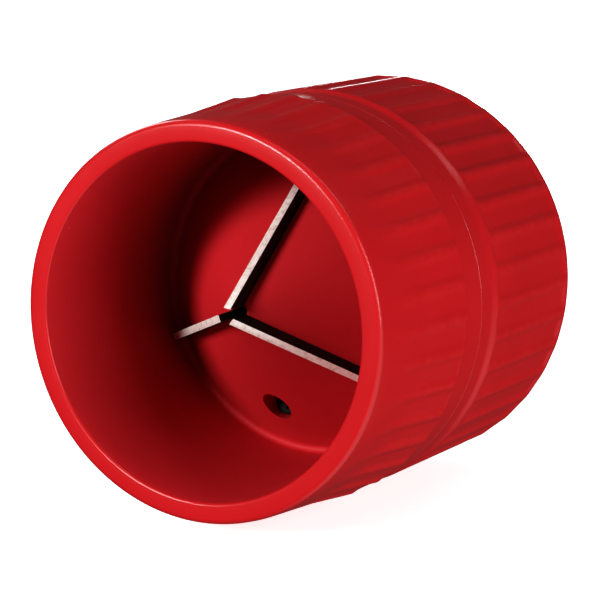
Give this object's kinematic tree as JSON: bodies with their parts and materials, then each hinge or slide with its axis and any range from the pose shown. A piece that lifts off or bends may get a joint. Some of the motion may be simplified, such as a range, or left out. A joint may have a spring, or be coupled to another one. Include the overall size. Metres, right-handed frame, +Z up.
{
  "type": "tube deburring tool",
  "caption": "Barrel-shaped hand deburrer for tube ends: ribbed two-part plastic grip, a cup at each end, and fixed steel blades on a cone.",
  "frame": {"origin": "centre of the tool's box, on its axis half way between the two rims", "axes": "Y is the tool's axis, with the mouth of the inside-deburring cup at -Y and the outside-deburring cup at +Y; the tool lies on its side with +Z up"},
  "size_m": [0.0498, 0.05, 0.0498],
  "materials": {
    "front_plastic": "gloss injection-moulded, bright red",
    "rear_plastic": "gloss injection-moulded, bright red",
    "blade_steel": "hardened strip, black oxide on its sides with bright ground edges",
    "screw_steel": "black oxide, recessed head"
  },
  "bodies": {
    "root": {"front_shell": "front_plastic", "rear_shell": "rear_plastic", "blade_1": "blade_steel", "blade_2": "blade_steel", "blade_3": "blade_steel", "locking_screw": "screw_steel"}
  },
  "joints": []
}
